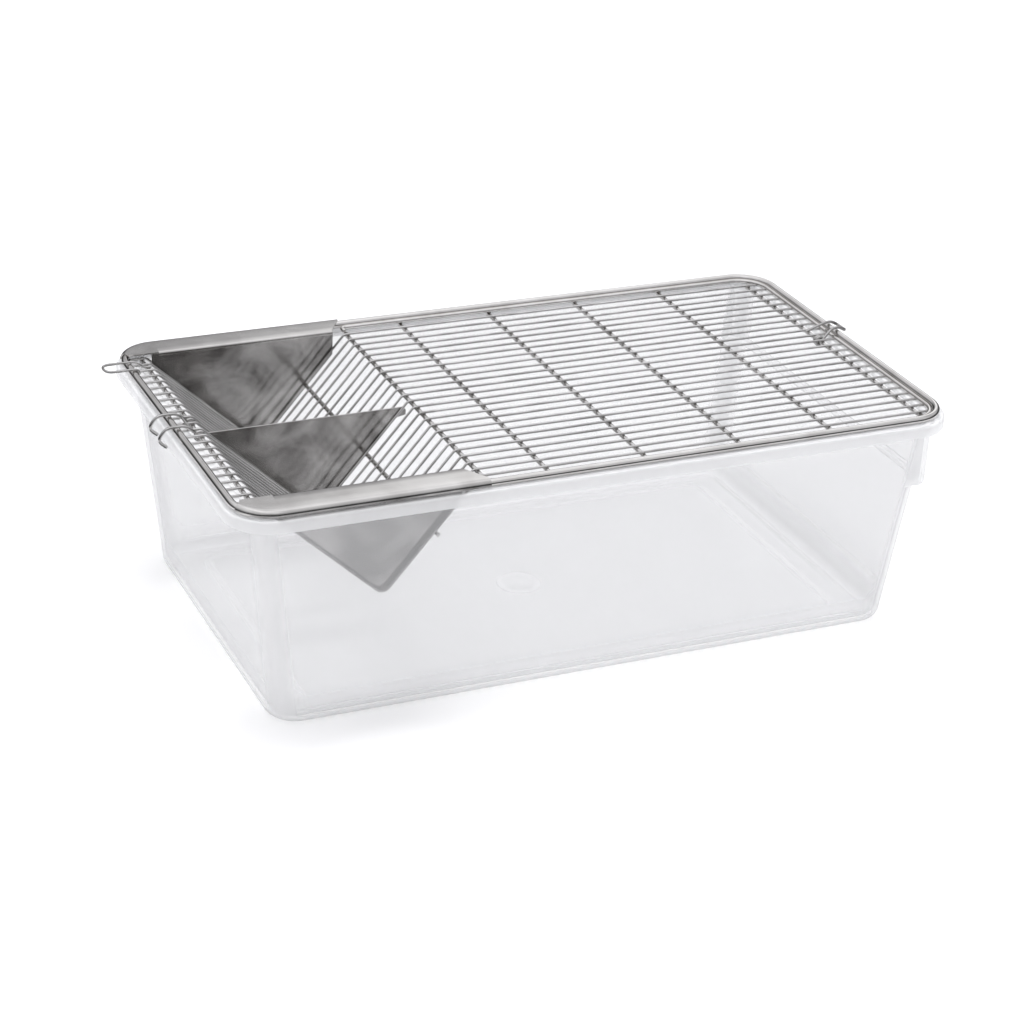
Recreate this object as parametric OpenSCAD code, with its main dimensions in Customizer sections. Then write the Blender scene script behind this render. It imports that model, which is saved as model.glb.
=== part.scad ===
// Wire-lid rodent cage: a clear tub with a rim, and a lift-off lid of welded
// stainless wire with a V-shaped feed hopper at the left end.
// Origin at the middle of the tub's underside, X along the cage (hopper at -X),
// Y across it (front at -Y), Z up. Millimetres.

/* [Lid frame] */
// Outside length of the lid's frame
frame_l = 480; // [440:1:520]
// Outside width of the lid's frame
frame_w = 265; // [240:1:300]
// Corner radius of the frame, to the rod's centre line
frame_corner = 23.3; // [18:0.1:30]
// Diameter of the frame rod
frame_d = 5; // [4:0.1:6]

/* [Tub] */
// Height of the top of the tub's rim
rim_z = 146.5; // [120:0.5:200]
// Overhang of the rim past the frame, each side
rim_over_x = 3; // [2:0.5:6]
// Overhang of the rim past the frame, front and back
rim_over_y = 3.5; // [2:0.5:6]
// Depth of the lip that hangs from the rim
lip_h = 8; // [5:0.5:14]
// Thickness of the tub's walls
wall = 2.5; // [1.5:0.1:3]
// Length of the tub at its base, outside
base_l = 430; // [380:1:460]
// Width of the tub at its base, outside
base_w = 245; // [200:1:260]
// Height of the shoulder's lower edge at the right end
shoulder_z = 101.5; // [80:0.5:120]

/* [Wires] */
// Number of long wires
wire_count = 25; // [15:2:31]
// Diameter of the long wires
wire_d = 1.7; // [1.2:0.1:2.5]
// Distance from the middle of the cage to the outermost wire
wire_edge_y = 116.1; // [90:0.1:120]
// Diameter of the cross rods and the locating rod
rod_d = 3; // [2:0.1:4]
// Number of cross rods under the flat deck
cross_count = 5; // [3:1:7]
// Distance between neighbouring cross rods
cross_pitch = 65.5; // [40:0.5:80]
// Place of the first cross rod along X
cross_x0 = -40; // [-60:1:0]

/* [Hopper] */
// Place of the hopper's left bend along X
hopper_left_x = -221.6; // [-225:0.1:-200]
// Place of the hopper's right bend along X
hopper_right_x = -84.2; // [-110:0.1:-60]
// Slope of the left side, in degrees from level
hopper_left_slope = 42.3; // [30:0.1:60]
// Slope of the right side, in degrees from level
hopper_right_slope = 49.5; // [30:0.1:60]
// Radius of the bend at the bottom
hopper_bottom_r = 6; // [4:0.5:12]
// Distance from the middle to the inner face of each end plate
plate_y = 112; // [90:0.5:113]
// Thickness of the end plates and the divider
sheet_t = 1; // [0.6:0.1:1.5]

/* [Latches] */
// Diameter of the latch wire
latch_d = 2; // [1.6:0.1:2.4]
// Place of the right latch across the cage
right_latch_y = 14.5125; // [4.8375:9.675:24.1875]

/* [Hidden] */
$fn = 32;

// Lid levels, from the rim upwards
frame_r = frame_d / 2;
rod_r = rod_d / 2;
wire_r = wire_d / 2;
latch_r = latch_d / 2;
frame_z = rim_z + frame_r;
locating_z = rim_z + rod_r;
cross_z = locating_z - rod_d;
wire_z = cross_z + rod_r + wire_r;

// Centre lines of the frame rod and the locating rod inside it
frame_cx = frame_l / 2 - frame_r;
frame_cy = frame_w / 2 - frame_r;
locating_gap = frame_r + rod_r;
locating_cx = frame_cx - locating_gap;
locating_cy = frame_cy - locating_gap;
locating_start_x = hopper_right_x + 1.2;
locating_tail = 7;

// Long wires
wire_pitch = 2 * wire_edge_y / (wire_count - 1);
wire_ys = [for (i = [0 : wire_count - 1]) -wire_edge_y + i * wire_pitch];
wire_start_gap = sqrt(pow(frame_r, 2) - pow(frame_z - wire_z - wire_r, 2));
bend_r = 4;

// Hopper: where its two slopes meet, and the bend's centre and tangent points
hopper_depth = (hopper_right_x - hopper_left_x)
               / (1 / tan(hopper_left_slope) + 1 / tan(hopper_right_slope));
hopper_x = hopper_left_x + hopper_depth / tan(hopper_left_slope);
hopper_z = wire_z - hopper_depth;
hopper_half = (180 - hopper_left_slope - hopper_right_slope) / 2;
bottom_reach = hopper_bottom_r / sin(hopper_half);
bottom_dir = 90 + (hopper_right_slope - hopper_left_slope) / 2;
bottom_c = [hopper_x + bottom_reach * cos(bottom_dir),
            hopper_z + bottom_reach * sin(bottom_dir)];
bottom_a0 = 270 - hopper_left_slope;
bottom_a1 = 270 + hopper_right_slope;
bottom_mid = (bottom_a0 + bottom_a1) / 2;
function on_circle(c, r, a) = [c[0] + r * cos(a), c[1] + r * sin(a)];
bottom_left = on_circle(bottom_c, hopper_bottom_r, bottom_a0);
bottom_right = on_circle(bottom_c, hopper_bottom_r, bottom_a1);
left_cut = bend_r * tan(hopper_left_slope / 2);
right_cut = bend_r * tan(hopper_right_slope / 2);
left_top = [hopper_left_x + left_cut * cos(hopper_left_slope),
            wire_z - left_cut * sin(hopper_left_slope)];
right_top = [hopper_right_x - right_cut * cos(hopper_right_slope),
             wire_z - right_cut * sin(hopper_right_slope)];

// Rods that carry the hopper
left_rod_x = hopper_left_x - 2.4;
right_rod_x = hopper_right_x + 2.9;
end_rod_half = 119;
middle_share = 0.47;
rod_offset = rod_r + wire_r;
middle_line = [hopper_right_x + middle_share * (hopper_x - hopper_right_x),
               wire_z - middle_share * hopper_depth];
middle_rod = [middle_line[0] + rod_offset * sin(hopper_right_slope),
              middle_line[1] - rod_offset * cos(hopper_right_slope)];

// End plates: cap over the frame, skirt outside it, and the V face
fit_gap = 0.05;
cap_z = frame_z + frame_r + fit_gap;
skirt_z = frame_z - 1;
plate_end_in = -94;
plate_end_out = -84;
plate_left_x = hopper_left_x + 2.6;
return_w = 2;

// Divider
divider_top = wire_z - 3.9;
divider_y = wire_r + 0.05;
divider_lug = 2.2;
divider_lug_h = 5;

// Latches: the eye round its rod, and the heights where the wire crosses
eye_gap = 0.3;
eye_r = rod_r + eye_gap + latch_r;
eye_leave = 40;
bar_share = 0.9;
cross_over_z = frame_z + frame_r + 0.35 + latch_r;
first_gap_y = wire_pitch / 2;

// Right latch: its coil's turns, the gap and lean of its two legs, and its tail past the rod
coil_pitch = 1.9;
latch_leg_gap = 10.8;
latch_lean = 0.2;
latch_tail = 6.5;

// Card loop
card_loop_r = 6.2;
card_loop_reach = 18.5;
right_rod_5_x = cross_x0 + (cross_count - 1) * cross_pitch + 2;

// Tub outlines
rim_hx = frame_l / 2 + rim_over_x;
rim_hy = frame_w / 2 + rim_over_y;
rim_t = 2.6;
lip_t = 2.2;
mouth_hx = frame_cx - 9;
mouth_hy = frame_cy - 2;
mouth_corner = 16;
base_corner = 21;
base_edge = 7;
floor_t = 2.5;
shoulder_hx = mouth_hx + wall + 0.5;
shoulder_wrap = 14;
ridge_hx = 190;
ridge_hy = 105;
ridge_w = 5;
ridge_h = 1.2;
mark_r = 15;
mark_h = 0.7;

// Joints inside a bent wire
knuckle_grow = 1.04;
knuckle_gap = 0.04;

// Facets of the thinnest bent wires
wire_sides = 12;
curve_steps = 6;

// ---- Building blocks ----

// Rounded rectangle, centred, from its half sizes
module round_rect(hx, hy, r) {
    square([2 * hx, 2 * (hy - r)], center = true);
    square([2 * (hx - r), 2 * hy], center = true);
    for (sx = [-1, 1], sy = [-1, 1])
        translate([sx * (hx - r), sy * (hy - r)]) circle(r);
}

// Thin slab of the same outline, for a hull
module slab(hx, hy, r, z, t = 0.02) {
    translate([0, 0, z])
        for (sx = [-1, 1], sy = [-1, 1])
            translate([sx * (hx - r), sy * (hy - r), 0]) cylinder(h = t, r = r);
}

// Straight round rod in the XY plane, between two points
module straight(a, b, r) {
    d = b - a;
    translate([a[0], a[1], 0])
        rotate([0, 0, atan2(d[1], d[0])])
            rotate([0, 90, 0])
                cylinder(h = norm(d), r = r);
}

// Round rod bent in an arc in the XY plane, from angle a0 to a1 either way round
module bend(c, bend_radius, a0, a1, r) {
    translate([c[0], c[1], 0])
        rotate([0, 0, a0])
            rotate_extrude(angle = a1 - a0)
                translate([bend_radius, 0]) circle(r);
}

// Straight round rod of length run that goes on into a bend: the bend starts at angle a
// about c and turns through sweep
module run_into_bend(c, bend_radius, a, sweep, run, r) {
    translate([c[0], c[1], 0]) rotate([0, 0, a]) mirror([0, sweep < 0 ? 1 : 0, 0]) {
        rotate_extrude(angle = abs(sweep)) translate([bend_radius, 0]) circle(r);
        translate([bend_radius, 0, 0]) rotate([90, 0, 0]) cylinder(h = run, r = r);
    }
}

// Turn at p between a and b, and the length a bend of radius rb takes from each leg
function heading(a, b) = atan2(b[1] - a[1], b[0] - a[0]);
function wrap(a) = a > 180 ? a - 360 : (a < -180 ? a + 360 : a);
function turn(a, p, b) = wrap(heading(p, b) - heading(a, p));
function cut(a, p, b, rb) = rb * tan(abs(turn(a, p, b)) / 2);

// Where a straight leaves a bend, a ball a hair fatter than the wire joins them
module knuckle(p, r) {
    translate([p[0], p[1], 0]) sphere(r * knuckle_grow);
}

// Round wire in the XY plane through the points, with a bend at each inner one
module bent_wire(pts, rb, r) {
    last = len(pts) - 1;
    for (i = [0 : last - 1]) {
        u = (pts[i + 1] - pts[i]) / norm(pts[i + 1] - pts[i]);
        c0 = i == 0 ? 0 : cut(pts[i - 1], pts[i], pts[i + 1], rb);
        c1 = i == last - 1 ? 0 : cut(pts[i], pts[i + 1], pts[i + 2], rb);
        straight(pts[i] + u * (i == 0 ? 0 : c0 + knuckle_gap), pts[i + 1] - u * c1, r);
        if (i > 0) knuckle(pts[i] + u * c0, r);
    }
    for (i = [1 : last - 1]) {
        t = turn(pts[i - 1], pts[i], pts[i + 1]);
        h = heading(pts[i - 1], pts[i]);
        side = t > 0 ? 1 : -1;
        start = pts[i] - cut(pts[i - 1], pts[i], pts[i + 1], rb) * [cos(h), sin(h)];
        c = start + side * rb * [-sin(h), cos(h)];
        bend(c, rb, h - side * 90, h - side * 90 + t, r);
    }
}

// Points with each inner corner rounded off, up to reach from the corner
function unit(v) = v / norm(v);
function corner_curve(p, u, v, c) = [for (k = [0 : curve_steps])
    let (t = k / curve_steps) p + u * c * pow(1 - t, 2) + v * c * pow(t, 2)];
function rounded(pts, reach) = [
    pts[0],
    for (i = [1 : len(pts) - 2])
        let (a = pts[i - 1] - pts[i], b = pts[i + 1] - pts[i],
             c = min(reach, 0.48 * norm(a), 0.48 * norm(b)))
            each corner_curve(pts[i], unit(a), unit(b), c),
    pts[len(pts) - 1]];

// Thin round wire swept along 3-D points; side is a direction no part of it runs along
module swept_wire(pts, r, side) {
    last = len(pts) - 1;
    n = wire_sides;
    rings = [for (i = [0 : last])
        let (t = unit(pts[min(i + 1, last)] - pts[max(i - 1, 0)]),
             a = unit(cross(side, t)), b = cross(t, a))
            for (k = [0 : n - 1])
                pts[i] + r * (cos(360 * k / n) * a + sin(360 * k / n) * b)];
    walls = [for (i = [0 : last - 1], k = [0 : n - 1])
        [i * n + k, (i + 1) * n + k, (i + 1) * n + (k + 1) % n, i * n + (k + 1) % n]];
    polyhedron(rings, concat(walls, [[for (k = [0 : n - 1]) k]],
                             [[for (k = [n - 1 : -1 : 0]) last * n + k]]), convexity = 6);
}

// Closed rounded rectangle of round rod at height z
module rod_ring(hx, hy, corner, z, r) {
    translate([0, 0, z]) {
        for (s = [-1, 1]) {
            straight([-hx + corner, s * hy], [hx - corner, s * hy], r);
            straight([s * hx, -hy + corner], [s * hx, hy - corner], r);
        }
        for (q = [0 : 3]) {
            sx = q == 0 || q == 3 ? 1 : -1;
            sy = q < 2 ? 1 : -1;
            bend([sx * (hx - corner), sy * (hy - corner)], corner, 90 * q, 90 * q + 90, r);
        }
    }
}

// Places its children, drawn in XY, upright in the XZ plane at each wire's Y
module each_wire() {
    for (y = wire_ys) at_wire(y) children();
}

module at_wire(y) {
    translate([0, y, 0]) rotate([90, 0, 0]) children();
}

// How far out along X a rounded rectangle of rod runs beside the wire at y
function reach_at(y, hx, hy, corner) =
    let (over = abs(y) + wire_r - (hy - corner))
        over <= 0 ? hx : hx - corner + sqrt(pow(corner, 2) - pow(over, 2));

// Rod along Y, half its length to each side
module y_rod(x, z, r, half) {
    translate([x, -half, z]) rotate([-90, 0, 0]) cylinder(h = 2 * half, r = r);
}

// ---- Tub ----

module tub_outside() {
    hull() {
        slab(base_l / 2 - base_edge, base_w / 2 - base_edge, base_corner - base_edge, 0);
        slab(base_l / 2 - 2, base_w / 2 - 2, base_corner - 2, base_edge * 0.3);
        slab(base_l / 2 + 0.5, base_w / 2 + 0.3, base_corner, base_edge);
        slab(mouth_hx + wall, mouth_hy + wall, mouth_corner + wall, rim_z - rim_t);
    }
}

module tub_inside() {
    hull() {
        slab(base_l / 2 - base_edge - wall, base_w / 2 - base_edge - wall,
             base_corner - base_edge, floor_t);
        slab(base_l / 2 - wall, base_w / 2 - wall, base_corner - wall, base_edge + floor_t);
        slab(mouth_hx, mouth_hy, mouth_corner, rim_z + 1);
    }
}

// Shoulder at the right end, a straight band that wraps onto both long sides
module shoulder(inset) {
    x0 = shoulder_hx - shoulder_wrap;
    z0 = shoulder_z + inset;
    intersection() {
        translate([0, 0, z0])
            linear_extrude(rim_z + inset - z0)
                round_rect(shoulder_hx - inset, mouth_hy + wall - inset, mouth_corner);
        translate([x0 + inset, -frame_w, 0]) cube([frame_l, 2 * frame_w, 2 * rim_z]);
    }
}

module tub() {
    color([0.86, 0.9, 0.93, 0.35]) {
        difference() {
            union() {
                tub_outside();
                shoulder(0);
                translate([0, 0, rim_z - rim_t])
                    linear_extrude(rim_t) round_rect(rim_hx, rim_hy, frame_corner + 5);
                translate([0, 0, rim_z - lip_h])
                    linear_extrude(lip_h) round_rect(rim_hx, rim_hy, frame_corner + 5);
            }
            tub_inside();
            shoulder(wall);
            translate([0, 0, rim_z - lip_h - 1])
                linear_extrude(lip_h - rim_t + 1) difference() {
                    round_rect(rim_hx - lip_t, rim_hy - lip_t, frame_corner + 5 - lip_t);
                    round_rect(mouth_hx + wall - 0.4, mouth_hy + wall - 0.3, mouth_corner + wall);
                }
        }
        translate([0, 0, floor_t - 0.2])
            linear_extrude(ridge_h + 0.2) difference() {
                round_rect(ridge_hx, ridge_hy, 14);
                round_rect(ridge_hx - ridge_w, ridge_hy - ridge_w, 9);
            }
        translate([0, 0, floor_t - 0.2]) cylinder(h = mark_h + 0.2, r = mark_r);
    }
}

// ---- Lid frame and rods ----

module lid_frame_rod() {
    color("silver") rod_ring(frame_cx, frame_cy, frame_corner, frame_z, frame_r);
}

// Open at the hopper: each end turns in beside an end plate
module locating_rod() {
    color("silver") translate([0, 0, locating_z]) {
        corner = frame_corner - locating_gap;
        inner_x = locating_cx - corner;
        inner_y = locating_cy - corner;
        for (s = [-1, 1]) {
            pts = [[locating_start_x, s * (locating_cy - locating_tail)],
                   [locating_start_x, s * locating_cy],
                   [inner_x, s * locating_cy]];
            bent_wire(pts, 3, rod_r);
        }
        straight([locating_cx, -inner_y], [locating_cx, inner_y], rod_r);
        bend([inner_x, inner_y], corner, 0, 90, rod_r);
        bend([inner_x, -inner_y], corner, 270, 360, rod_r);
    }
}

// Cross rod i of the deck, counted from the hopper; the last one sits out at the end
module cross_rod(i) {
    x = i == cross_count ? right_rod_5_x : cross_x0 + (i - 1) * cross_pitch;
    color("silver") y_rod(x, cross_z, rod_r, i == cross_count ? end_rod_half : locating_cy);
}

module hopper_left_rod() {
    color("silver") y_rod(left_rod_x, cross_z, rod_r, end_rod_half);
}

module hopper_right_rod() {
    color("silver") y_rod(right_rod_x, cross_z, rod_r, locating_cy - locating_tail + 1);
}

module hopper_middle_rod() {
    color("silver") y_rod(middle_rod[0], middle_rod[1], rod_r, wire_edge_y + 2);
}

// ---- Long wires, each in four runs that meet end to end ----

module shelf_wires() {
    bend_x = hopper_left_x - left_cut;
    color("silver") for (y = wire_ys) {
        start_x = wire_start_gap - reach_at(y, frame_cx, frame_cy, frame_corner);
        at_wire(y) run_into_bend([bend_x, wire_z - bend_r], bend_r, 90, -hopper_left_slope,
                                 bend_x - start_x, wire_r);
    }
}

module hopper_left_wires() {
    color("silver") each_wire()
        run_into_bend(bottom_c, hopper_bottom_r, bottom_a0, bottom_mid - bottom_a0,
                      norm(left_top - bottom_left), wire_r);
}

module hopper_right_wires() {
    color("silver") each_wire()
        run_into_bend(bottom_c, hopper_bottom_r, bottom_a1, bottom_mid - bottom_a1,
                      norm(right_top - bottom_right), wire_r);
}

module deck_wires() {
    bend_x = hopper_right_x + right_cut;
    color("silver") for (y = wire_ys) {
        end_x = reach_at(y, locating_cx, locating_cy, frame_corner - locating_gap) - rod_r;
        at_wire(y) run_into_bend([bend_x, wire_z - bend_r], bend_r, 90, hopper_right_slope,
                                 end_x - bend_x, wire_r);
    }
}

// ---- Hopper sheet parts ----

// V outline in XZ from height z_top down, drawn in by inset
function left_at(z) = hopper_left_x + (wire_z - z) / tan(hopper_left_slope);
function right_at(z) = hopper_right_x - (wire_z - z) / tan(hopper_right_slope);
function v_tip(inset) = [for (k = [0 : 8])
    on_circle(bottom_c, hopper_bottom_r - inset, bottom_a0 + k * (bottom_a1 - bottom_a0) / 8)];

// Strip of the frame's outline, grown by g, that an end plate covers on side s
module cap_outline(s, g) {
    far = frame_cy + frame_r + g + 1;
    intersection() {
        round_rect(frame_cx + frame_r + g, frame_cy + frame_r + g, frame_corner + frame_r + g);
        polygon([[-frame_l, s * plate_y], [plate_end_in, s * plate_y],
                 [plate_end_out, s * far], [-frame_l, s * far]]);
    }
}

// Top cap over the frame rod, its skirt, the V face and the V face's turned edge
module end_plate(s) {
    face_top = cap_z + sheet_t / 2;
    slope_z = wire_z - (hopper_right_x - plate_end_in) * tan(hopper_right_slope);
    outline = concat([[plate_left_x, face_top], [plate_left_x, wire_z - 2.4]], v_tip(0),
                     [[plate_end_in, slope_z], [plate_end_in, face_top]]);
    edge_in = concat([[left_at(wire_z - 6) + sheet_t, wire_z - 6]], v_tip(sheet_t),
                     [[plate_end_in - sheet_t, slope_z]]);
    edge_out = concat([[left_at(wire_z - 6), wire_z - 6]], v_tip(0), [[plate_end_in, slope_z]]);
    last = len(edge_in) - 1;
    color("gainsboro") {
        translate([0, 0, cap_z]) linear_extrude(sheet_t) cap_outline(s, fit_gap + sheet_t);
        translate([0, 0, skirt_z])
            linear_extrude(cap_z - skirt_z + sheet_t / 2) difference() {
                cap_outline(s, fit_gap + sheet_t);
                round_rect(frame_cx + frame_r + fit_gap, frame_cy + frame_r + fit_gap,
                           frame_corner + frame_r + fit_gap);
            }
        translate([0, s > 0 ? plate_y + sheet_t : -plate_y, 0])
            rotate([90, 0, 0]) linear_extrude(sheet_t) polygon(outline);
        translate([0, s > 0 ? plate_y + sheet_t + return_w : -plate_y - sheet_t, 0])
            rotate([90, 0, 0]) linear_extrude(return_w)
                polygon(concat(edge_out, [for (k = [last : -1 : 0]) edge_in[k]]));
    }
}

// Stands against the middle wire, with a small lug past the right slope
module divider_plate() {
    lug_x = right_at(divider_top) + divider_lug;
    lug_z = divider_top - divider_lug;
    low_z = lug_z - divider_lug_h;
    outline = concat([[left_at(divider_top), divider_top]], v_tip(0),
                     [[right_at(low_z), low_z], [lug_x, low_z + 1.5], [lug_x, lug_z],
                      [right_at(divider_top), divider_top]]);
    color("gainsboro")
        translate([0, divider_y + sheet_t, 0])
            rotate([90, 0, 0]) linear_extrude(sheet_t) polygon(outline);
}

// ---- Wire fittings ----

// Flat loop past the left end that holds a card: one leg runs in to the hopper's rod,
// the other ends in a curl over the frame rod
module card_loop() {
    top = frame_z + frame_r + wire_r;
    leg_a = wire_edge_y - 1.5 * wire_pitch;
    leg_b = leg_a - 2 * card_loop_r;
    tip_x = -frame_cx - card_loop_reach;
    curl_r = frame_r + wire_r;
    pts = [[left_rod_x + 1.5, leg_a, wire_z + 0.1], [left_rod_x - 3, leg_a, wire_z + 0.1],
           [-frame_cx + 4, leg_a, top], [tip_x, leg_a, top], [tip_x, leg_b, top],
           [-frame_cx, leg_b, top], [-frame_cx + 0.9 * curl_r, leg_b, frame_z + 0.9 * curl_r],
           [-frame_cx + curl_r, leg_b, frame_z - 0.5]];
    color("silver") swept_wire(rounded(pts, card_loop_r), wire_r, [0.3, 0.2, 1]);
}

// Eye round the rod that a latch turns on, in the XZ plane at y
module eye(x, y) {
    translate([x, y, cross_z]) rotate([90, 0, 0])
        rotate_extrude() translate([eye_r, 0]) circle(latch_r);
}

// Point on the eye's wire, a turns up from the outboard side s
function eye_point(x, y, s) = [x + s * eye_r * cos(eye_leave), y, cross_z + eye_r * sin(eye_leave)];

// Two hooks that reach over the frame and the rim's lip, joined by a bar
module latch_left() {
    over_x = -frame_cx;
    hook_ys = [-first_gap_y, 3 * first_gap_y];
    start = eye_point(left_rod_x, 0, -1);
    crest = [over_x + 5, 0, cross_over_z];
    mid = (start + crest) / 2;
    color("silver") {
        for (y = hook_ys) {
            eye(left_rod_x, y);
            pts = [start, crest, [over_x - 8, 0, cross_over_z], [over_x - 13, 0, frame_z - 4],
                   [over_x - 7.2, 0, rim_z - 6.5]];
            translate([0, y, 0]) swept_wire(rounded(pts, 4.5), latch_r, [0, 1, 0]);
        }
        translate([mid[0], hook_ys[0], mid[2]]) rotate([-90, 0, 0])
            cylinder(h = hook_ys[1] - hook_ys[0], r = latch_r * bar_share);
    }
}

// Loop over the frame and the rim: its coil turns on the last cross rod, its tail lies over the deck
module latch_right() {
    rod_x = right_rod_5_x;
    coil_ys = [for (k = [-1 : 1]) right_latch_y + k * coil_pitch];
    crest_x = frame_cx - 4.5;
    drop_x = frame_cx + 2;
    out_x = frame_cx + 8.8;
    tail_x = rod_x - latch_tail;
    leg_y = function (x, gap) coil_ys[0] + gap + latch_lean * (x - rod_x);
    leg = [[crest_x, cross_over_z], [drop_x, cross_over_z], [out_x, frame_z]];
    pts = concat([[tail_x, leg_y(tail_x, latch_leg_gap), wire_z + wire_r + latch_r + 0.45]],
                 [for (p = leg) [p[0], leg_y(p[0], latch_leg_gap), p[1]]],
                 [for (i = [2 : -1 : 0]) [leg[i][0], leg_y(leg[i][0], 0), leg[i][1]]],
                 [eye_point(rod_x, coil_ys[0], 1)]);
    color("silver") {
        for (y = coil_ys) eye(rod_x, y);
        swept_wire(rounded(pts, 3), latch_r, [-1, 0.3, 2.2]);
    }
}

tub();
lid_frame_rod();
locating_rod();
shelf_wires();
hopper_left_wires();
hopper_right_wires();
deck_wires();
cross_rod(1);  // cross_rod_1
cross_rod(2);  // cross_rod_2
cross_rod(3);  // cross_rod_3
cross_rod(4);  // cross_rod_4
cross_rod(5);  // cross_rod_5
hopper_left_rod();
hopper_right_rod();
hopper_middle_rod();
end_plate(-1);  // end_plate_front
end_plate(1);  // end_plate_back
divider_plate();
card_loop();
latch_left();
latch_right();
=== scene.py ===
import math
import random

import bmesh
import bpy
from mathutils import Matrix, Vector


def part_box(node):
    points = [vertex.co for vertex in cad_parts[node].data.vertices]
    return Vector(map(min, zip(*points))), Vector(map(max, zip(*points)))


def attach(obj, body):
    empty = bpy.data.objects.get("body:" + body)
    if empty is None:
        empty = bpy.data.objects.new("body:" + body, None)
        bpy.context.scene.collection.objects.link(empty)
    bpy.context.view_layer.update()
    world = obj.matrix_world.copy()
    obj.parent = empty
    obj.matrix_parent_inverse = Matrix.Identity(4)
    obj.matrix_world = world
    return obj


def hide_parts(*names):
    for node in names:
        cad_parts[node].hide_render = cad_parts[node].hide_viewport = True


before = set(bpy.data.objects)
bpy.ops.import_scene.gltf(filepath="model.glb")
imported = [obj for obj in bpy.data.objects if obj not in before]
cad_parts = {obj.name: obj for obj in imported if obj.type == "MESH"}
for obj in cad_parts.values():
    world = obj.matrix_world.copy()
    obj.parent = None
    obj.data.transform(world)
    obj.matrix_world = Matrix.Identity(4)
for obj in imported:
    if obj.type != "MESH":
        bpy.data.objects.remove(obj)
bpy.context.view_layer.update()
MM = 0.001
rng = random.Random(11)

# ---- Dimensions, in millimetres, in the frame's axes ----


def box_mm(node):
    """Lowest and highest corners of a CAD node at rest."""
    lo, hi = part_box(node)
    return lo / MM, hi / MM


def middle(node):
    """Where the axis of a rod along Y lies, in X and Z."""
    lo, hi = box_mm(node)
    return (lo.x + hi.x) / 2, (lo.z + hi.z) / 2


frame_lo, frame_hi = box_mm("lid_frame_rod")
FRAME_R = (frame_hi.z - frame_lo.z) / 2
FRAME_Z = (frame_hi.z + frame_lo.z) / 2
FRAME_CX = frame_hi.x - FRAME_R
FRAME_CY = frame_hi.y - FRAME_R
FRAME_CORNER = 23.3
tub_lo, tub_hi = box_mm("tub")
RIM_HX, RIM_HY, RIM_Z = tub_hi.x, tub_hi.y, tub_hi.z
rod_lo, rod_hi = box_mm("cross_rod_1")
ROD_R = (rod_hi.z - rod_lo.z) / 2
CROSS_Z = (rod_hi.z + rod_lo.z) / 2
LOCATING_Z = RIM_Z + ROD_R
LOCATING_CX = FRAME_CX - FRAME_R - ROD_R
LOCATING_CY = FRAME_CY - FRAME_R - ROD_R
deck_hi = box_mm("deck_wires")[1]
WIRE_R = 0.85
WIRE_Z = CROSS_Z + ROD_R + WIRE_R
WIRE_COUNT = 25
WIRE_EDGE_Y = deck_hi.y - WIRE_R
WIRE_PITCH = 2 * WIRE_EDGE_Y / (WIRE_COUNT - 1)
WIRE_YS = [-WIRE_EDGE_Y + i * WIRE_PITCH for i in range(WIRE_COUNT)]
LEFT_BEND_X = -221.6
RIGHT_BEND_X = -84.2
LEFT_SLOPE = math.radians(42.3)
RIGHT_SLOPE = math.radians(49.5)
DEPTH = (RIGHT_BEND_X - LEFT_BEND_X) / (1 / math.tan(LEFT_SLOPE) + 1 / math.tan(RIGHT_SLOPE))
BOTTOM_X = LEFT_BEND_X + DEPTH / math.tan(LEFT_SLOPE)
BOTTOM_Z = WIRE_Z - DEPTH
BOTTOM_R = 6.0
BEND_R = 4.0
LATCH_R = 1.0
PLATE_Y = 112.0
SHEET_T = 1.0


# ---- Mesh building blocks ----

# A wire's cut end: radius at the tip and just behind it, as shares of the wire's own radius, then how
# far behind the tip the second of them and the full radius come, in radii.
TIP, NEAR_TIP = 0.62, 0.92
NEAR_TIP_BACK, FULL_BACK = 0.1, 0.35


def finish_object(name, bm, body, material, replaced=(), smooth_angle=40):
    """Turns millimetres of bmesh into a smooth-shaded object that rides on a body."""
    bmesh.ops.scale(bm, vec=(MM, MM, MM), verts=bm.verts)
    bmesh.ops.recalc_face_normals(bm, faces=bm.faces)
    mesh = bpy.data.meshes.new(name)
    bm.to_mesh(mesh)
    bm.free()
    for polygon in mesh.polygons:
        polygon.use_smooth = True
    mesh.set_sharp_from_angle(angle=math.radians(smooth_angle))
    obj = bpy.data.objects.new(name, mesh)
    bpy.context.scene.collection.objects.link(obj)
    mesh.materials.append(material)
    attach(obj, body)
    if replaced:
        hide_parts(*replaced)
    return obj


def arc(cx, cy, r, a0, a1, steps):
    """Points on a circle from angle a0 to a1, in degrees."""
    out = []
    for k in range(steps + 1):
        a = math.radians(a0 + (a1 - a0) * k / steps)
        out.append((cx + r * math.cos(a), cy + r * math.sin(a)))
    return out


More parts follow.
